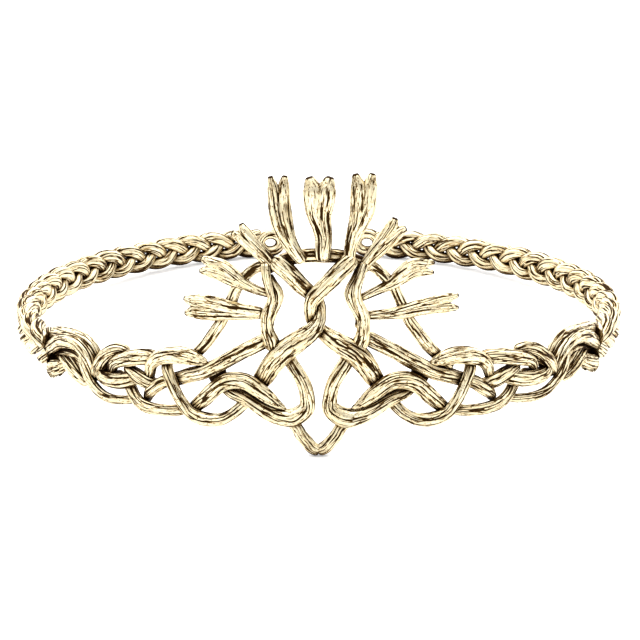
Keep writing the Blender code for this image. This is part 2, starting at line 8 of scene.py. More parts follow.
import bpy
import numpy as np
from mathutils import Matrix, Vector


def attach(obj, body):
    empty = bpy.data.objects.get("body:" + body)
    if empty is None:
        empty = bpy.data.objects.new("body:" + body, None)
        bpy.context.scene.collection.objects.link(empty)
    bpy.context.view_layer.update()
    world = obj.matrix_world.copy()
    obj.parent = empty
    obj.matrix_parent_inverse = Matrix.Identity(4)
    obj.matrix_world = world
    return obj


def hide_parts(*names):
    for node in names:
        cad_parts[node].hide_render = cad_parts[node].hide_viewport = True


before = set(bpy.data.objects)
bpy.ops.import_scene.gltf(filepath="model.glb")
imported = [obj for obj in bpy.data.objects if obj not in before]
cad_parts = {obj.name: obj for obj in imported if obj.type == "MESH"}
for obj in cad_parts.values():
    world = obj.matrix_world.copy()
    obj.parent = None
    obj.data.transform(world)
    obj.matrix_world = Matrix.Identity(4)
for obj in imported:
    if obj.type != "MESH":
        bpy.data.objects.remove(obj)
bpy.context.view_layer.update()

# The ring, as the solids have it
RING_RADIUS = 0.088
RING_CENTRE = (0.00003, 0.00095, 0.01043)   # middle of the ring, as it rests
RING_TILT = math.radians(3.41)              # up at the front, on the tip and both eyes
PANEL_LEFT_ARC = 0.0830
PANEL_RIGHT_ARC = 0.0888
SEAM_GAP = 0.0003
BACK_GAP = 0.0250

# The panel and the bands, as the solids have them
MOTIF_RISE = 0.035
PANEL_TWIG = 0.0040
PANEL_LAYER = 0.00125
BAND_TWIG = 0.0041
BAND_HEIGHT = 0.0108
BAND_LAYER = 0.00130
PLAIT_PITCH = 0.028
PLAIT_TWIGS = 3
EYE_WIRE = 0.0040
EYE_LENGTH = 0.0120
EYE_OVERLAP = 0.0026
FLATNESS = 0.85

# Mesh of the twigs
TWIG_STEP = 0.00055
TWIG_SIDES = 90
BAND_STEP = 0.00060
BAND_SIDES = 44
CURVE_POINTS = 24          # between two rows of a table, before they are spaced evenly
PLAIT_POINTS = 600
EYE_POINTS = 60

# Bark grooves
GROOVE_DEPTH = 0.16        # share of the twig's radius
BAND_GROOVE_DEPTH = 0.08
GROOVE_COUNT = 17          # round a twig of the panel's full girth
LEAST_GROOVES = 7
GROOVE_SWELL = 1.05        # ridges over the solids' radius, for what the grooves take off
GROOVE_JITTER = 0.3        # of a groove's place round the twig, as a share of the spacing
GROOVE_FILL = 0.80         # mean depth, as a share of the deepest
GROOVE_WIDTH = 1.6         # mean width, in radians over the number of grooves

# What varies along a twig: by how much, and over what length
GROOVE_SWINGS = ((0.35, 0.011), (0.10, 0.0032), (0.035, 0.0010))   # radians round the twig
GROOVE_FADE = (0.80, 0.0055)       # depth, so that a groove comes and goes
GROOVE_NICKS = (0.25, 0.0012)      # depth, in short nicks
GROOVE_SPREAD = (0.5, 0.004)       # width, in radians over the number of grooves
KNOTS = (0.05, 0.007)              # share of the girth
LUMPS = (0.03, 0.003)              # the same on one side of the twig

# How a twig closes at an end: over how many radii, and to what share of its girth
ENDS = {"round": (0.9, 0.05), "cut": (0.30, 0.72)}
JOIN_BLEND = 0.25          # share of a closed twig over which its bark runs into its start

# Values of the darkness attribute for painted shade, where it isn't the bark that makes a twig
# dark
CUT_SHADE = 2.0
FLANK_SHADE = 0.46
FLANK_POWER = 8            # how narrow the dark of a flank is

# First random seed of each group of twigs
SEEDS = {"middle": 0, "left": 100, "right": 200, "rays": 300, "band": 400, "eye": 450}
SEEDS_PER_STRAND = 10

# The panel's right end is drawn out to its seam, from this share of the arc on, and fully
# after so much more of it
STRETCH_START = 0.5
STRETCH_REACH = 0.3

# Twigs of the panel's left half; the right half mirrors them, apart from the three in
# RIGHT_TWIGS. Columns: across (share of PANEL_LEFT_ARC), up (share of MOTIF_RISE),
# layer (1 over, -1 under, in PANEL_LAYER) and girth (share of PANEL_TWIG).
HALF_TWIGS = {
    "teardrop": [
        (0.113, 0.375, -1.0, 0.77), (0.095, 0.290, -0.8, 0.80), (0.074, 0.205, -0.3, 0.84),
        (0.042, 0.076, 0.1, 0.84), (0.032, -0.052, 0.2, 0.91), (0.039, -0.110, 0.3, 1.04),
        (0.074, -0.167, 0.3, 1.17), (0.120, -0.158, 0.3, 1.02), (0.156, -0.124, 0.2, 0.90),
        (0.210, -0.052, 0.0, 0.82), (0.258, -0.018, -0.8, 0.80), (0.292, 0.043, -1.3, 0.79),
        (0.317, 0.110, -1.3, 0.74), (0.334, 0.180, -1.2, 0.72)],
    "wave": [
        (0.393, -0.193, -0.9, 0.73), (0.365, -0.126, -0.4, 0.83), (0.334, -0.060, 0.3, 0.92),
        (0.305, 0.010, 0.8, 0.95), (0.282, 0.058, 1.0, 0.97), (0.257, 0.089, 1.1, 1.04),
        (0.230, 0.099, 1.2, 1.03), (0.204, 0.089, 1.2, 1.03), (0.178, 0.048, 1.1, 0.97),
        (0.153, 0.005, 1.1, 0.90), (0.130, -0.041, 1.0, 0.71), (0.107, -0.080, 0.9, 0.39),
        (0.092, -0.097, 0.8, 0.18)],
    "slit_bridge": [
        (0.326, 0.052, -0.6, 0.52), (0.303, 0.100, -0.6, 0.52), (0.276, 0.150, -0.7, 0.52)],
    "slit_web": [
        (0.232, 0.034, -1.1, 0.42), (0.196, -0.008, -0.9, 0.50), (0.166, -0.060, -0.9, 0.50),
        (0.134, -0.106, -0.9, 0.42)],
    "long_diagonal": [
        (0.130, 0.400, -1.0, 0.90), (0.165, 0.357, -0.8, 0.90), (0.199, 0.316, -0.3, 0.90),
        (0.228, 0.279, 0.0, 0.90), (0.272, 0.214, 0.3, 0.91), (0.335, 0.130, 0.2, 0.91),
        (0.389, 0.080, -0.4, 0.92), (0.427, 0.042, -0.9, 0.86), (0.453, 0.024, -0.4, 0.83),
        (0.473, 0.012, 0.5, 0.80), (0.495, -0.026, 0.7, 0.82), (0.515, -0.064, 0.5, 0.82),
        (0.533, -0.104, -0.3, 0.74), (0.547, -0.148, -1.0, 0.62)],
    "side_wave": [
        (0.148, 0.926, 0.3, 0.57), (0.147, 0.861, 0.7, 0.57), (0.144, 0.800, 0.8, 0.54),
        (0.136, 0.733, 0.9, 0.46), (0.132, 0.678, 0.9, 0.46), (0.138, 0.621, 0.7, 0.57),
        (0.146, 0.556, 0.6, 0.67), (0.147, 0.493, 0.6, 0.70), (0.143, 0.438, 0.6, 0.76),
        (0.135, 0.380, 0.4, 0.89), (0.129, 0.309, -0.3, 0.83)],
    "side_wave_back": [
        (0.144, 0.837, -0.5, 0.51), (0.129, 0.780, -0.1, 0.51), (0.116, 0.734, 0.1, 0.54),
        (0.112, 0.686, 0.1, 0.54), (0.118, 0.637, 0.1, 0.51), (0.126, 0.589, 0.2, 0.46),
        (0.138, 0.525, 0.2, 0.51), (0.141, 0.455, 0.2, 0.57)],
    "frame_arc": [
        (0.133, 0.918, -0.8, 0.63), (0.157, 0.892, -0.8, 0.63), (0.180, 0.873, -0.8, 0.63),
        (0.201, 0.836, -0.8, 0.63), (0.222, 0.785, -0.8, 0.64), (0.241, 0.713, -0.9, 0.67),
        (0.257, 0.626, -0.9, 0.71), (0.272, 0.554, -0.9, 0.71), (0.288, 0.481, -0.8, 0.74),
        (0.313, 0.392, -0.7, 0.71), (0.339, 0.309, -0.6, 0.65), (0.361, 0.254, -0.5, 0.65),
        (0.390, 0.172, -0.7, 0.59)],
    "deep_loop": [
        (0.464, 0.212, -1.0, 0.60), (0.464, 0.164, -0.5, 0.66), (0.460, 0.116, 0.2, 0.73),
        (0.446, 0.053, 0.7, 0.73),
        (0.432, -0.014, 0.9, 0.73), (0.417, -0.079, 0.9, 0.73), (0.399, -0.136, 0.9, 0.73),
        (0.383, -0.182, 0.8, 0.79), (0.361, -0.206, 0.7, 0.86), (0.337, -0.218, 0.6, 0.88),
        (0.313, -0.220, 0.4, 0.86), (0.289, -0.211, 0.2, 0.79), (0.266, -0.186, -0.1, 0.72),
        (0.246, -0.152, -0.6, 0.72), (0.226, -0.104, -1.0, 0.72), (0.204, -0.050, -1.0, 0.70)],
    "top_over": [
        (0.535, 0.000, -0.6, 0.60), (0.522, 0.072, 0.1, 0.73), (0.512, 0.125, 0.6, 0.80),
        (0.494, 0.171, 0.9, 0.86), (0.471, 0.203, 1.1, 0.99), (0.439, 0.228, 1.2, 1.10),
        (0.406, 0.238, 1.2, 1.10), (0.375, 0.231, 1.1, 0.98), (0.346, 0.213, 0.9, 0.65),
        (0.322, 0.200, 0.7, 0.26)],
    "top_mid": [
        (0.678, -0.004, -0.2, 0.62), (0.657, 0.073, 0.5, 0.75), (0.626, 0.117, 0.9, 0.88),
        (0.592, 0.146, 1.0, 1.00), (0.560, 0.168, 0.8, 1.00), (0.532, 0.177, 0.3, 1.00),
        (0.515, 0.173, -0.4, 0.93), (0.495, 0.152, -0.9, 0.80)],
    "top_end": [
        (0.758, -0.076, -0.4, 0.77), (0.730, 0.022, 0.4, 0.83), (0.705, 0.090, 0.7, 0.82),
        (0.679, 0.147, 0.6, 0.82), (0.654, 0.180, 0.2, 0.81), (0.634, 0.185, -0.4, 0.74),
        (0.609, 0.170, -0.9, 0.68)],
    "short_cross": [
        (0.623, 0.064, -0.7, 0.76), (0.596, 0.044, 0.0, 0.88), (0.568, 0.025, 0.4, 0.96),
        (0.542, 0.002, 0.5, 0.96), (0.520, -0.020, 0.0, 0.86), (0.496, -0.036, -0.9, 0.72)],
    "inner_bar": [
        (0.664, 0.082, -0.6, 0.60), (0.694, 0.064, -0.6, 0.68), (0.718, 0.022, -0.5, 0.82),
        (0.722, -0.024, -0.1, 0.90), (0.703, -0.051, 0.4, 0.92), (0.667, -0.052, 0.6, 0.98),
        (0.625, -0.037, 0.6, 0.98), (0.592, -0.010, 0.1, 0.92), (0.569, 0.009, -0.6, 0.80)],
    "low_under": [
        (0.620, -0.062, -0.8, 0.70), (0.601, -0.102, -0.3, 0.78), (0.583, -0.140, 0.2, 0.78),
        (0.561, -0.172, 0.6, 0.78), (0.536, -0.191, 0.7, 0.78), (0.507, -0.200, 0.6, 0.76),
        (0.467, -0.197, 0.4, 0.73), (0.433, -0.188, 0.0, 0.73), (0.409, -0.182, -0.8, 0.67)],
    "low_end": [
        (0.836, 0.066, -0.9, 0.56), (0.821, 0.015, -0.4, 0.63), (0.793, -0.049, 0.3, 0.70),
        (0.769, -0.104, 0.6, 0.70), (0.735, -0.160, 0.7, 0.69), (0.702, -0.193, 0.6, 0.66),
        (0.667, -0.202, 0.3, 0.62), (0.621, -0.190, -0.3, 0.58), (0.591, -0.170, -0.8, 0.54)],
    "end_over": [
        (1.075, -0.063, 0.3, 0.90), (0.986, 0.042, 0.6, 0.92), (0.914, 0.124, 0.8, 0.96),
        (0.858, 0.153, 0.9, 0.96), (0.810, 0.148, 0.9, 0.95), (0.775, 0.094, 0.7, 0.90),
        (0.760, 0.012, 0.2, 0.84), (0.762, -0.074, -0.6, 0.72)],
    "end_under": [
        (0.961, -0.033, -0.7, 0.66), (0.917, -0.051, -0.1, 0.73), (0.874, -0.078, 0.4, 0.72),
        (0.844, -0.116, 0.3, 0.67), (0.818, -0.144, 0.0, 0.60), (0.804, -0.165, -0.8, 0.54)],
    "end_foot": [
        (1.103, -0.175, 0.3, 0.92), (1.021, -0.146, 0.5, 1.00), (0.960, -0.108, 0.5, 0.98),
        (0.926, -0.074, -0.2, 0.80), (0.900, -0.036, -0.9, 0.62)],
    "end_inner": [
        (0.938, 0.030, -1.1, 0.58), (0.886, -0.014, -0.9, 0.66), (0.853, -0.060, -0.8, 0.66),
        (0.826, -0.112, -0.9, 0.60), (0.800, -0.155, -1.1, 0.54)],
    "end_top": [
        (1.056, 0.065, -0.6, 0.84), (0.982, 0.140, -0.5, 0.90), (0.915, 0.169, -0.4, 0.90),
        (0.854, 0.185, -0.4, 0.88), (0.802, 0.176, -0.5, 0.85), (0.771, 0.140, -0.7, 0.78),
        (0.757, 0.080, -1.0, 0.68), (0.750, 0.020, -1.2, 0.60)],
    "end_back": [
        (1.149, -0.190, -1.0, 0.84), (1.045, -0.087, -1.2, 0.88), (0.961, -0.012, -1.2, 0.88),
        (0.892, 0.018, -1.2, 0.80), (0.846, -0.004, -1.2, 0.74), (0.814, -0.058, -1.2, 0.72),
        (0.761, -0.076, -1.1, 0.72), (0.694, -0.051, -1.1, 0.72), (0.640, -0.020, -1.1, 0.70)],
    "tip_leg": [
        (0.085, -0.198, -0.8, 0.65), (0.063, -0.250, -0.2, 0.72), (0.051, -0.298, 0.0, 0.76),
        (0.034, -0.347, 0.0, 0.78), (0.017, -0.391, 0.0, 0.79), (-0.007, -0.414, 0.1, 0.70)],
}

# Twigs that differ on the right half, in the same columns.
RIGHT_TWIGS = {
    "side_wave": [
        (0.132, 0.927, 0.3, 0.50), (0.120, 0.863, 0.7, 0.50), (0.112, 0.803, 0.8, 0.50),
        (0.106, 0.742, 0.9, 0.50), (0.107, 0.680, 0.9, 0.50), (0.117, 0.622, 0.7, 0.57),
        (0.127, 0.558, 0.6, 0.67), (0.126, 0.495, 0.6, 0.73), (0.125, 0.439, 0.6, 0.83),
        (0.120, 0.381, 0.4, 0.96), (0.110, 0.311, -0.3, 0.83)],
    "side_wave_back": [
        (0.120, 0.880, -0.5, 0.57), (0.103, 0.801, -0.2, 0.57), (0.090, 0.749, 0.0, 0.57),
        (0.085, 0.701, 0.1, 0.57), (0.093, 0.646, 0.1, 0.54), (0.105, 0.590, 0.2, 0.51),
        (0.117, 0.527, 0.2, 0.57), (0.114, 0.457, 0.2, 0.64)],
    "frame_arc": [
        (0.126, 0.932, -0.8, 0.63), (0.147, 0.896, -0.8, 0.63), (0.170, 0.860, -0.8, 0.63),
        (0.194, 0.802, -0.8, 0.64), (0.215, 0.745, -0.8, 0.64), (0.231, 0.672, -0.9, 0.64),
        (0.247, 0.593, -0.9, 0.67), (0.266, 0.498, -0.9, 0.71), (0.290, 0.417, -0.8, 0.74),
        (0.319, 0.326, -0.7, 0.75), (0.348, 0.249, -0.6, 0.69), (0.377, 0.185, -0.5, 0.66),
        (0.406, 0.124, -0.7, 0.59)],
}

# Twigs that cross the middle; same columns, with across left of the middle as minus.
MIDDLE_TWIGS = {
    "twist_from_left": [
        (-0.132, 0.946, -0.1, 1.00), (-0.114, 0.918, 0.2, 1.06), (-0.094, 0.880, 0.3, 1.08),
        (-0.067, 0.812, 0.0, 1.04), (-0.045, 0.754, -0.4, 1.00), (-0.025, 0.708, -0.9, 0.90),
        (-0.006, 0.665, -1.0, 0.76), (0.004, 0.622, -0.6, 0.68), (0.005, 0.574, 0.3, 0.66),
        (0.000, 0.524, 0.8, 0.76), (-0.018, 0.464, 1.1, 1.02), (-0.044, 0.414, 1.1, 1.22),
        (-0.072, 0.363, 1.0, 1.32), (-0.095, 0.317, 0.8, 1.34), (-0.117, 0.260, 0.3, 1.32),
        (-0.140, 0.187, -0.3, 1.24), (-0.160, 0.112, -0.8, 1.14), (-0.178, 0.050, -1.0, 1.00)],
    "twist_from_right": [
        (0.101, 0.969, 0.2, 0.94), (0.076, 0.912, 0.6, 1.06), (0.053, 0.860, 0.8, 1.03),
        (0.031, 0.807, 0.9, 1.00), (0.009, 0.754, 1.0, 0.97), (-0.012, 0.699, 1.0, 0.94),
        (-0.022, 0.650, 0.8, 0.80), (-0.024, 0.598, 0.5, 0.72), (-0.022, 0.543, -0.3, 0.70),
        (-0.010, 0.486, -0.8, 0.74), (0.008, 0.442, -1.0, 0.83), (0.030, 0.405, -0.4, 1.04),
        (0.055, 0.368, 0.1, 1.22), (0.094, 0.311, 0.3, 1.30), (0.117, 0.258, 0.1, 1.32),
        (0.140, 0.187, -0.3, 1.24), (0.160, 0.112, -0.8, 1.14), (0.178, 0.050, -1.0, 1.00)],
    "arch_bar": [
        (-0.155, 0.850, -1.0, 0.66), (-0.116, 0.916, -1.0, 0.74), (-0.059, 0.956, -1.0, 0.80),
        (0.000, 0.964, -1.0, 0.82), (0.059, 0.956, -1.0, 0.80), (0.116, 0.916, -1.0, 0.74),
        (0.150, 0.860, -1.0, 0.66)],
}

# Rays, from root to tip; same columns, girth over both lobes.
RAYS = {
    "ray_middle": [
        (0.012, 0.934, 0.5, 0.81), (0.012, 1.015, 0.6, 0.94), (0.014, 1.095, 0.5, 0.98),
        (0.008, 1.174, 0.3, 1.15), (0.002, 1.246, 0.1, 1.40), (0.002, 1.325, 0.0, 1.70),
        (0.003, 1.404, 0.0, 1.85), (0.003, 1.496, 0.0, 1.76)],
    "ray_upright_left": [
        (-0.041, 0.926, 0.4, 0.66), (-0.068, 1.013, 0.5, 0.80), (-0.089, 1.106, 0.4, 1.06),
        (-0.102, 1.211, 0.2, 1.28), (-0.109, 1.309, 0.0, 1.33), (-0.111, 1.409, 0.0, 1.30),
        (-0.113, 1.500, 0.0, 1.25)],
    "ray_upright_right": [
        (0.086, 0.917, 0.4, 0.60), (0.087, 1.012, 0.5, 0.70), (0.097, 1.112, 0.4, 0.90),
        (0.113, 1.211, 0.2, 1.21), (0.123, 1.309, 0.0, 1.49), (0.125, 1.408, 0.0, 1.55),
        (0.125, 1.515, 0.0, 1.42)],
    "ray_high_left": [
        (-0.126, 0.897, -0.1, 0.69), (-0.151, 0.960, 0.0, 0.85), (-0.182, 1.029, 0.0, 0.96),
        (-0.210, 1.094, 0.0, 1.08), (-0.232, 1.146, 0.0, 1.16)],
    "ray_high_right": [
        (0.125, 0.890, -0.1, 0.60), (0.147, 0.957, 0.0, 0.76), (0.175, 1.030, 0.0, 1.00),
        (0.203, 1.109, 0.0, 1.22), (0.231, 1.180, 0.0, 1.34)],
    "ray_side_left": [
        (-0.130, 0.698, -0.4, 0.44), (-0.147, 0.707, -0.3, 0.50), (-0.182, 0.730, -0.3, 0.58),
        (-0.216, 0.766, -0.2, 0.74), (-0.245, 0.807, 0.0, 1.08), (-0.277, 0.851, 0.0, 1.28),
        (-0.310, 0.870, 0.0, 1.24), (-0.342, 0.882, 0.0, 1.14)],
    "ray_side_right": [
        (0.106, 0.668, -0.4, 0.40), (0.126, 0.681, -0.3, 0.46), (0.169, 0.726, -0.3, 0.58),
        (0.207, 0.765, -0.2, 0.72), (0.240, 0.825, 0.0, 1.08), (0.270, 0.863, 0.0, 1.18),
        (0.300, 0.866, 0.0, 1.00), (0.334, 0.862, 0.0, 0.88)],
    "ray_low_left": [
        (-0.156, 0.565, -0.2, 0.66), (-0.197, 0.569, -0.1, 0.89), (-0.232, 0.570, 0.0, 1.05),
        (-0.268, 0.577, 0.0, 1.28), (-0.310, 0.584, 0.0, 1.52), (-0.354, 0.586, 0.0, 1.52),
        (-0.396, 0.582, 0.0, 1.32)],
    "ray_low_right": [
        (0.130, 0.552, -0.4, 0.48), (0.155, 0.555, -0.2, 0.54), (0.199, 0.558, -0.1, 0.66),
        (0.243, 0.570, 0.0, 0.88), (0.287, 0.588, 0.0, 1.00), (0.330, 0.601, 0.0, 1.12),
        (0.374, 0.606, 0.0, 1.24), (0.414, 0.609, 0.0, 1.14)],
}

# How each ray splits in two lobes. Columns: along (share of the ray), width (share of
# the ray's width there) and offset from its middle line (share of its half width).
RAY_LOBES = [
    (0.00, 0.92, 0.08), (0.35, 0.74, 0.26), (0.70, 0.62, 0.38), (0.87, 0.56, 0.44),
    (1.00, 0.28, 0.70)]

# How much darker than the rest a twig is painted, with painted shade and patina, mostly where
# it lies deep behind other twigs, and how much brighter, as minus
SHADE_AND_TARNISH = {
    "arch_bar": 0.24, "slit_bridge": 0.60, "slit_web": 0.60, "end_back": 0.25,
    "end_inner": 0.25, "tip_leg": -0.15, "top_over": -0.08, "frame_arc": -0.08,
    "ray_root": 0.12, "ray_tip": -0.26, "band": 0.04}
RAY_ROOT_TO_TIP = (0.2, 0.8)    # shares of a ray's length between which root turns to tip

# Antiqued gold; thin patina is a warm brown, thick patina nearly black, and the same two
# colours paint the shade
DEEP_GOLD = (0.89, 0.73, 0.42, 1)
PALE_GOLD = (1.00, 0.93, 0.70, 1)
THIN_PATINA_AND_SHADE = (0.40, 0.23, 0.06, 1)
THICK_PATINA_AND_SHADE = (0.024, 0.010, 0.003, 1)
GROOVE_AND_SHADE_DARKNESS = 0.92
STREAK_DARKNESS = 0.90
CRACK_DARKNESS = 0.80
PIT_DARKNESS = 0.80
POLISHED_ROUGHNESS = 0.30
PATINA_ROUGHNESS = 0.35    # added where the patina is thick
NOISE_DETAIL = 2
BUMP_STRENGTH = 0.6
BUMP_HEIGHT = 0.00015

# How strongly fine cracks show, and how far the painted shade of a crossing spreads
PANEL_WEAR, PANEL_REACH = 1.0, 0.0034
BAND_WEAR, BAND_REACH = 0.5, 0.0052

# Stage
FLOOR_SIZE = 6
PAPER = (1.0, 0.985, 0.965, 1)
PAPER_ROUGHNESS = 0.9
FLOOR_BURN = 0.16          # how much brighter the camera sees the floor
SKY_AXIS = (0.0, 0.7, 0.7)         # overhead and behind the crown
SKY_TURN = (-0.2, 0.8)             # where along that axis the sky brightens
SKY_STRENGTH = (0.60, 2.15)
SUN_ENERGY = 1.0
SUN_ANGLE = math.radians(80)
SUN_TURN = (math.radians(20), math.radians(-15), 0)

# Camera, fitted to the ring in the photograph
CAMERA_ELEVATION = math.radians(14.83) + RING_TILT
CAMERA_DISTANCE = 0.370
FOCAL_PIXELS = 1191.6
FRAME_PIXELS = 640
SENSOR_WIDTH = 36          # millimetres
NEAREST_SEEN = 0.01
RING_MIDDLE_PIXEL = (318.7, 300.35)


def smooth_course(rows, step):
    """Evenly spaced points of a smooth curve through the rows, and their place along it."""
    rows = np.array(rows)
    padded = np.vstack([rows[:1], rows, rows[-1:]])
    t = np.linspace(0, 1, CURVE_POINTS, endpoint=False)[:, None]
    fine = [
        0.5 * (2 * start + t * (end - before)
               + t ** 2 * (2 * before - 5 * start + 4 * end - after)
               + t ** 3 * (3 * start - before - 3 * end + after))
        for before, start, end, after in zip(padded, padded[1:], padded[2:], padded[3:])]
    return even_course(np.vstack(fine + [rows[-1:]]), step)


def even_course(fine, step):
    """The same course with points a step apart, and their place along it."""
    gaps = np.linalg.norm(np.diff(fine[:, :3], axis=0), axis=1)
    lengths = np.concatenate([[0.0], np.cumsum(gaps)])
    along = np.linspace(0, lengths[-1], max(6, round(lengths[-1] / step)) + 1)
    course = np.stack([np.interp(along, lengths, column) for column in fine.T], 1)
    return course, along


def wander(rng, along, swing, wavelength):
    """Smooth random values from -swing to swing along a twig."""
    place = along / wavelength
    knots = rng.uniform(-1, 1, int(place[-1]) + 3)
    index = place.astype(int)
    t = place - index
    t = t * t * (3 - 2 * t)
    return swing * (knots[index] * (1 - t) + knots[index + 1] * t)


def bark_relief(rng, along, angles, count):
    """Depth of the bark's grooves, from 0 on the ridges to 1, along and round a twig."""
    relief = np.zeros((len(along), len(angles)))
    for number in range(count):
        middle = 2 * math.pi * (number + rng.uniform(-GROOVE_JITTER, GROOVE_JITTER)) / count
        for swing, wavelength in GROOVE_SWINGS:
            middle = middle + wander(rng, along, swing, wavelength)
        depth = np.clip(GROOVE_FILL + wander(rng, along, *GROOVE_FADE), 0.0, 1.0)
        depth = depth * (1 + wander(rng, along, *GROOVE_NICKS))
        width = (GROOVE_WIDTH + wander(rng, along, *GROOVE_SPREAD)) / count
        gap = (angles[None, :] - middle[:, None] + math.pi) % (2 * math.pi) - math.pi
        darkness = depth[:, None] * np.exp(-(gap / width[:, None]) ** 2)
        relief = np.maximum(relief, darkness)
    return relief


class TwigBatch:
    """Gathers swept twigs into one mesh."""

    def __init__(self):
        self.points = []
        self.faces = []
        self.darkness = []
        self.bark = []
        self.count = 0

    def add(self, course, along, width, sides, seed, ends=("round", "round"), closed=False,
            depth=GROOVE_DEPTH, shade_and_tarnish=0.0):
        """Sweep one twig. A course holds x, y, z and girth; an end is round, cut or hidden.

        Shade and tarnish, one value or a column along the twig, darkens it with painted shade
        and patina, or brightens it below 0.
        """
        rng = np.random.default_rng(seed)
        centres = course[:, :3]
        radius = course[:, 3] * width / 2
        if closed:
            forward = np.roll(centres, -1, 0) - np.roll(centres, 1, 0)
        else:
            forward = np.gradient(centres, axis=0)
        forward /= np.linalg.norm(forward, axis=1)[:, None]
        aside = np.cross(forward, (0.0, 1.0, 0.0))
        aside /= np.linalg.norm(aside, axis=1)[:, None]
        outward = np.cross(aside, forward)
        angles = np.linspace(0, 2 * math.pi, sides, endpoint=False)
        grooves = max(LEAST_GROOVES, round(GROOVE_COUNT * 2 * radius.mean() / PANEL_TWIG))
        relief = bark_relief(rng, along, angles, grooves)
        if closed:
            blend = np.clip(along / (JOIN_BLEND * along[-1]), 0, 1)[:, None]
            relief = relief * blend + relief[::-1] * (1 - blend)
        knots = 1 + wander(rng, along, *KNOTS)
        lumps = wander(rng, along, *LUMPS)[:, None]
        lumps = 1 + lumps * np.cos(angles + rng.uniform(0, 6))
        closing = np.ones(len(along))
        for end, away in zip(ends, (along, along[-1] - along)):
            if closed or end == "hidden":
                continue
            radii, least = ENDS[end]
            reach = radii * radius[0 if away is along else -1]
            share = np.clip(away / reach, 0, 1)
            closing *= np.maximum(np.sqrt(1 - (1 - share) ** 2), least)
        size = (GROOVE_SWELL * radius * knots * closing)[:, None] * lumps * (1 - depth * relief)
        points = (
            centres[:, None, :]
            + size[..., None] * np.cos(angles)[None, :, None] * aside[:, None, :]
            + size[..., None] * FLATNESS * np.sin(angles)[None, :, None] * outward[:, None, :])
        rings, around = size.shape
        index = np.arange(rings * around).reshape(rings, around) + self.count
        if closed:
            nearer, further = index, np.roll(index, -1, 0)
        else:
            nearer, further = index[:-1], index[1:]
        quads = np.stack(
            [nearer, np.roll(nearer, -1, 1), np.roll(further, -1, 1), further], -1)
        self.faces.extend(quads.reshape(-1, 4).tolist())
        if not closed:
            self.faces.append(index[0, ::-1].tolist())
            self.faces.append(index[-1].tolist())
            # Painted shade: the last ring of a cut end is painted dark
            for row, end in ((0, ends[0]), (-1, ends[1])):
                if end == "cut":
                    relief[row] = CUT_SHADE
        # Painted shade: a twig's flanks, its edges as seen from the front, are darkened into
        # dark outlines
        flank_shade = FLANK_SHADE * np.abs(np.cos(angles)) ** FLANK_POWER
        relief = np.maximum(relief, flank_shade) + shade_and_tarnish
        shift = rng.uniform(0, 1.0)
        bark = np.stack([
            np.cos(angles)[None, :] * radius[:, None],
            np.sin(angles)[None, :] * radius[:, None],
            np.repeat((along + shift)[:, None], around, 1)], -1)
        self.points.append(points.reshape(-1, 3))
        self.darkness.append(relief.reshape(-1))
        self.bark.append(bark.reshape(-1, 3))
        self.count += rings * around

    def make(self, name, low, high, material, node, slot):
        """Bend the twigs to the ring between two seams and put them in the frame."""
        flat = np.vstack(self.points)
        flat[:, 0] = np.clip(flat[:, 0], low, high)
        angle = flat[:, 0] / RING_RADIUS
        radius = RING_RADIUS - flat[:, 1]
        x = radius * np.sin(angle)
        y = -radius * np.cos(angle)
        z = flat[:, 2]
        cos, sin = math.cos(RING_TILT), math.sin(RING_TILT)
        placed = np.stack([x, y * cos + z * sin, z * cos - y * sin], 1) + np.array(RING_CENTRE)
        # The tip is a little thicker here than in the solids, but it still rests on the floor
        placed[:, 2] = np.maximum(placed[:, 2], 0.0)
        mesh = bpy.data.meshes.new(name)
        mesh.from_pydata(placed.tolist(), [], self.faces)
        # The darkness attribute holds the bark's grooves and the painted shade of flanks, cut
        # ends and deep twigs
        mesh.attributes.new("darkness", "FLOAT", "POINT").data.foreach_set(
            "value", np.concatenate(self.darkness).astype(np.float32))
        mesh.attributes.new("bark", "FLOAT_VECTOR", "POINT").data.foreach_set(
            "vector", np.vstack(self.bark).astype(np.float32).ravel())
        mesh.shade_smooth()
        mesh.materials.append(material)
        piece = bpy.data.objects.new(name, mesh)
        bpy.context.scene.collection.objects.link(piece)
        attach(piece, "root")
        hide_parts(node)


def panel_rows(table, side=1):
    """Rows of a panel table as points on the flat sheet; side -1 mirrors them."""
    rows = []
    for across, up, layer, girth in table:
        x = side * across * PANEL_LEFT_ARC
        if x > 0:
            share = min(max((side * across - STRETCH_START) / STRETCH_REACH, 0.0), 1.0)
            x += share * (PANEL_RIGHT_ARC - PANEL_LEFT_ARC)
        rows.append((x, -layer * PANEL_LAYER, up * MOTIF_RISE, girth))
    return rows


def ray_lobe(course, along, lobe):
    """Course of one of the two lobes of a ray; lobe is 1 or -1."""
    share = along / along[-1]
    places, widths, offsets = np.array(RAY_LOBES).T
    width = np.interp(share, places, widths)
    offset = np.interp(share, places, offsets)
    forward = np.gradient(course[:, :3], axis=0)
    aside = np.stack([forward[:, 2], 0 * forward[:, 1], -forward[:, 0]], 1)
    aside /= np.linalg.norm(aside, axis=1)[:, None]
    moved = course.copy()
    moved[:, :3] += aside * (lobe * offset * course[:, 3] * PANEL_TWIG / 2)[:, None]
    moved[:, 3] = course[:, 3] * width
    return even_course(moved, TWIG_STEP)


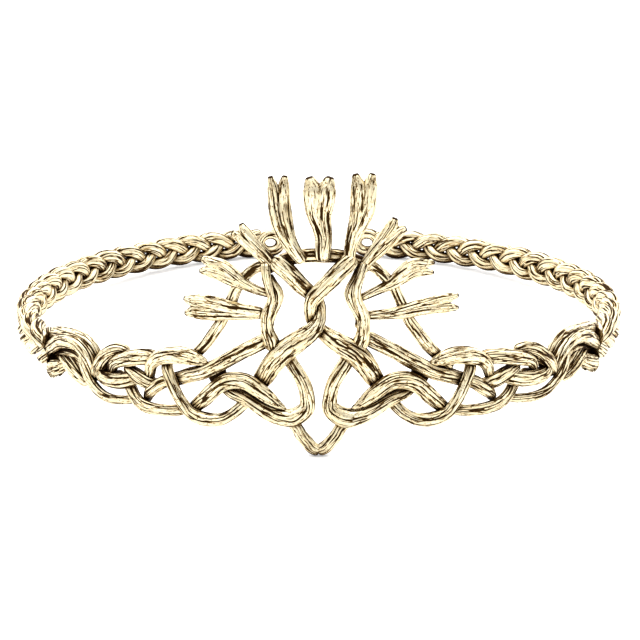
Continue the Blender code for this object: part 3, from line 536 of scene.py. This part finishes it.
def build_panel(material):
    """The front panel: its middle, its two halves and its rays, a piece each."""
    seams = (-PANEL_LEFT_ARC + SEAM_GAP / 2, PANEL_RIGHT_ARC - SEAM_GAP / 2)
    middle = TwigBatch()
    for seed, (twig, table) in enumerate(MIDDLE_TWIGS.items(), SEEDS["middle"]):
        middle.add(*smooth_course(panel_rows(table), TWIG_STEP), PANEL_TWIG, TWIG_SIDES, seed,
                   shade_and_tarnish=SHADE_AND_TARNISH.get(twig, 0.0))
    middle.make("panel_middle_twigs", *seams, material, "front_panel", "panel_metal")
    for name, side in (("left", -1), ("right", 1)):
        batch = TwigBatch()
        for seed, (twig, table) in enumerate(HALF_TWIGS.items(), SEEDS[name]):
            if side > 0:
                table = RIGHT_TWIGS.get(twig, table)
            course = smooth_course(panel_rows(table, side), TWIG_STEP)
            # The long diagonal ends inside the twigs that it joins
            ends = ("round", "hidden" if twig == "long_diagonal" else "round")
            batch.add(*course, PANEL_TWIG, TWIG_SIDES, seed, ends=ends,
                      shade_and_tarnish=SHADE_AND_TARNISH.get(twig, 0.0))
        batch.make(f"panel_{name}_twigs", *seams, material, "front_panel", "panel_metal")
    rays = TwigBatch()
    for seed, table in enumerate(RAYS.values(), SEEDS["rays"]):
        course, along = smooth_course(panel_rows(table), TWIG_STEP)
        for lobe in (-1, 1):
            lobe_course, lobe_along = ray_lobe(course, along, lobe)
            # Painted shade darkens a ray towards its root; towards its tip the ray is made
            # brighter
            shade_and_tarnish = np.interp(
                lobe_along / lobe_along[-1], RAY_ROOT_TO_TIP,
                (SHADE_AND_TARNISH["ray_root"], SHADE_AND_TARNISH["ray_tip"]))
            rays.add(lobe_course, lobe_along, PANEL_TWIG, TWIG_SIDES, 2 * seed + lobe,
                     ends=("round", "cut"), shade_and_tarnish=shade_and_tarnish[:, None])
    rays.make("panel_rays", *seams, material, "front_panel", "panel_metal")


def build_band(name, side, seam, material):
    """One band: its plait, from the seam, and the eye that ends it; side is -1 or 1."""
    start = seam - BAND_TWIG
    back = math.pi * RING_RADIUS - BACK_GAP / 2
    end = back - EYE_LENGTH + EYE_OVERLAP
    rise = (BAND_HEIGHT - BAND_TWIG) / 2
    x = np.linspace(start, end, PLAIT_POINTS)
    batch = TwigBatch()
    for number in range(PLAIT_TWIGS):
        phase = 2 * math.pi * ((x - start) / PLAIT_PITCH + number / PLAIT_TWIGS)
        fine = np.stack(
            [side * x, -BAND_LAYER * np.sin(2 * phase), rise * np.sin(phase), 0 * x + 1], 1)
        batch.add(*even_course(fine, BAND_STEP), BAND_TWIG, BAND_SIDES,
                  SEEDS["band"] + SEEDS_PER_STRAND * number + side,
                  depth=BAND_GROOVE_DEPTH, shade_and_tarnish=SHADE_AND_TARNISH["band"])
    turn = np.linspace(0, 2 * math.pi, EYE_POINTS)
    eye = np.stack([
        side * (back - EYE_LENGTH / 2) + (EYE_LENGTH - EYE_WIRE) / 2 * np.cos(turn),
        0 * turn, (BAND_HEIGHT - EYE_WIRE) / 2 * np.sin(turn), 0 * turn + 1], 1)
    course, along = even_course(eye, BAND_STEP)
    batch.add(course[:-1], along[:-1], EYE_WIRE, BAND_SIDES, SEEDS["eye"] + side, closed=True,
              depth=BAND_GROOVE_DEPTH, shade_and_tarnish=SHADE_AND_TARNISH["band"])
    seams = sorted((side * (seam + SEAM_GAP / 2), side * math.pi * RING_RADIUS))
    batch.make(name + "_twigs", *seams, material, name, "band_metal")


def gold(name, wear, reach):
    """Antiqued gold: pale and polished on the ridges, dark brown in the grooves, with painted
    shade where twigs lie close together and where the darkness attribute paints it.

    Wear is how strongly the fine cracks show, reach how far the painted shade of a crossing
    spreads.
    """
    material = bpy.data.materials.new(name)
    material.use_nodes = True
    nodes = material.node_tree.nodes
    links = material.node_tree.links
    shader = nodes["Principled BSDF"]

    def node(kind, **settings):
        made = nodes.new(kind)
        for key, value in settings.items():
            setattr(made, key, value)
        return made

    def math_node(operation, first, second, clamp=False):
        made = node("ShaderNodeMath", operation=operation, use_clamp=clamp)
        for socket, value in zip(made.inputs, (first, second)):
            if isinstance(value, (int, float)):
                socket.default_value = value
            else:
                links.new(value, socket)
        return made.outputs[0]

    def mapped(value, low, high):
        made = node("ShaderNodeMapRange", interpolation_type="SMOOTHSTEP")
        made.inputs["From Min"].default_value = low
        made.inputs["From Max"].default_value = high
        links.new(value, made.inputs["Value"])
        return made.outputs[0]

    bark = node("ShaderNodeAttribute", attribute_name="bark")
    darkness = node("ShaderNodeAttribute", attribute_name="darkness")

    def noise(scale, squeeze, distortion=0.0):
        """Noise drawn out along the twig; squeeze is its scale along over that across."""
        stretch = node("ShaderNodeMapping")
        stretch.inputs["Scale"].default_value = (1.0, 1.0, squeeze)
        links.new(bark.outputs["Vector"], stretch.inputs["Vector"])
        made = node("ShaderNodeTexNoise")
        made.inputs["Scale"].default_value = scale
        made.inputs["Detail"].default_value = NOISE_DETAIL
        made.inputs["Distortion"].default_value = distortion
        links.new(stretch.outputs[0], made.inputs["Vector"])
        return made.outputs[0]

    streaks = noise(2100, 0.08, 0.4)
    cracks = noise(4200, 0.10)
    pits = noise(2600, 0.60)
    patches = noise(260, 1.0)

    # Dark patina in the ragged grooves and in the cracks, and painted shade with patina where
    # twigs lie close together. Each pattern turns from bright to dark between its two values.
    # Painted shade where twigs lie close together, from the ambient occlusion
    crossing_shade = node("ShaderNodeAmbientOcclusion", samples=8)
    crossing_shade.inputs["Distance"].default_value = reach
    ragged = math_node("ADD", darkness.outputs["Fac"], math_node(
        "ADD", math_node("MULTIPLY", streaks, 2.0), cracks))
    patina_and_shade = math_node("MULTIPLY", mapped(ragged, 1.80, 2.08), GROOVE_AND_SHADE_DARKNESS)
    for dark in (
            math_node("MULTIPLY", mapped(streaks, 0.57, 0.64), STREAK_DARKNESS * wear),
            math_node("MULTIPLY", mapped(cracks, 0.58, 0.66), CRACK_DARKNESS * wear),
            math_node("MULTIPLY", mapped(pits, 0.61, 0.70), PIT_DARKNESS * wear),
            math_node("SUBTRACT", 1.0, mapped(crossing_shade.outputs["AO"], 0.44, 0.80))):
        patina_and_shade = math_node("MAXIMUM", patina_and_shade, dark, clamp=True)

    tone = node("ShaderNodeMix", data_type="RGBA")
    tone.inputs[6].default_value = DEEP_GOLD
    tone.inputs[7].default_value = PALE_GOLD
    links.new(patches, tone.inputs[0])
    colour = tone
    for dark, low, high in ((THIN_PATINA_AND_SHADE, 0.0, 0.6), (THICK_PATINA_AND_SHADE, 0.3, 1.0)):
        layer = node("ShaderNodeMix", data_type="RGBA")
        layer.inputs[7].default_value = dark
        links.new(mapped(patina_and_shade, low, high), layer.inputs[0])
        links.new(colour.outputs[2], layer.inputs[6])
        colour = layer
    links.new(colour.outputs[2], shader.inputs["Base Color"])
    shader.inputs["Metallic"].default_value = 1.0
    rougher = math_node("MULTIPLY", patina_and_shade, PATINA_ROUGHNESS)
    links.new(math_node("ADD", POLISHED_ROUGHNESS, rougher), shader.inputs["Roughness"])
    bump = node("ShaderNodeBump", invert=True)
    bump.inputs["Strength"].default_value = BUMP_STRENGTH
    bump.inputs["Distance"].default_value = BUMP_HEIGHT
    lines = math_node("ADD", streaks, math_node("MULTIPLY", cracks, 0.5))
    links.new(lines, bump.inputs["Height"])
    links.new(bump.outputs[0], shader.inputs["Normal"])
    return material


def build_floor():
    """A pale floor, lit so much that it burns out to white."""
    bpy.ops.mesh.primitive_plane_add(size=FLOOR_SIZE)
    floor = bpy.context.object
    floor.name = "floor"
    paper = bpy.data.materials.new("paper")
    paper.use_nodes = True
    nodes = paper.node_tree.nodes
    links = paper.node_tree.links
    shader = nodes["Principled BSDF"]
    shader.inputs["Base Color"].default_value = PAPER
    shader.inputs["Roughness"].default_value = PAPER_ROUGHNESS
    # The camera sees the floor a little brighter, so that most of its shade burns out
    sight = nodes.new("ShaderNodeLightPath")
    burn = nodes.new("ShaderNodeMath")
    burn.operation = "MULTIPLY"
    burn.inputs[1].default_value = FLOOR_BURN
    links.new(sight.outputs["Is Camera Ray"], burn.inputs[0])
    links.new(burn.outputs[0], shader.inputs["Emission Strength"])
    floor.data.materials.append(paper)


def build_light():
    """A bright sky, darker on the camera's side, and a wide soft lamp."""
    world = bpy.data.worlds.new("studio")
    world.use_nodes = True
    nodes = world.node_tree.nodes
    links = world.node_tree.links
    direction = nodes.new("ShaderNodeTexCoord")
    toward = nodes.new("ShaderNodeVectorMath")
    toward.operation = "DOT_PRODUCT"
    toward.inputs[1].default_value = SKY_AXIS
    links.new(direction.outputs["Generated"], toward.inputs[0])
    glow = nodes.new("ShaderNodeMapRange")
    glow.interpolation_type = "SMOOTHSTEP"
    for socket, value in zip(
            ("From Min", "From Max", "To Min", "To Max"), SKY_TURN + SKY_STRENGTH):
        glow.inputs[socket].default_value = value
    links.new(toward.outputs["Value"], glow.inputs["Value"])
    # Past the floor's edge the camera sees plain white
    sight = nodes.new("ShaderNodeLightPath")
    strength = nodes.new("ShaderNodeMath")
    strength.operation = "MAXIMUM"
    links.new(glow.outputs[0], strength.inputs[0])
    links.new(sight.outputs["Is Camera Ray"], strength.inputs[1])
    links.new(strength.outputs[0], nodes["Background"].inputs["Strength"])
    nodes["Background"].inputs["Color"].default_value = (1, 1, 1, 1)
    bpy.context.scene.world = world
    lamp = bpy.data.lights.new("softbox", "SUN")
    lamp.energy = SUN_ENERGY
    lamp.angle = SUN_ANGLE
    holder = bpy.data.objects.new("softbox", lamp)
    holder.rotation_euler = SUN_TURN
    bpy.context.scene.collection.objects.link(holder)
    bpy.context.scene.view_settings.view_transform = "Standard"


def build_camera():
    """The camera, so placed that the ring's middle falls on its pixel in the photograph."""
    camera = bpy.data.objects.new("camera", bpy.data.cameras.new("camera"))
    bpy.context.scene.collection.objects.link(camera)
    camera.data.sensor_width = SENSOR_WIDTH
    camera.data.lens = FOCAL_PIXELS / FRAME_PIXELS * SENSOR_WIDTH
    camera.data.clip_start = NEAREST_SEEN
    away = Vector((0, -math.cos(CAMERA_ELEVATION), math.sin(CAMERA_ELEVATION)))
    up = Vector((0, math.sin(CAMERA_ELEVATION), math.cos(CAMERA_ELEVATION)))
    camera.location = Vector(RING_CENTRE) + away * CAMERA_DISTANCE
    pixel = CAMERA_DISTANCE / FOCAL_PIXELS
    aim = Vector(RING_CENTRE)
    aim += Vector(((FRAME_PIXELS / 2 - RING_MIDDLE_PIXEL[0]) * pixel, 0, 0))
    aim -= up * (FRAME_PIXELS / 2 - RING_MIDDLE_PIXEL[1]) * pixel
    camera.rotation_euler = (aim - camera.location).to_track_quat("-Z", "Y").to_euler()
    bpy.context.scene.camera = camera


build_panel(gold("antique_gold_panel", PANEL_WEAR, PANEL_REACH))
band_gold = gold("antique_gold_bands", BAND_WEAR, BAND_REACH)
build_band("left_band", -1, PANEL_LEFT_ARC, band_gold)
build_band("right_band", 1, PANEL_RIGHT_ARC, band_gold)
build_floor()
build_light()
build_camera()
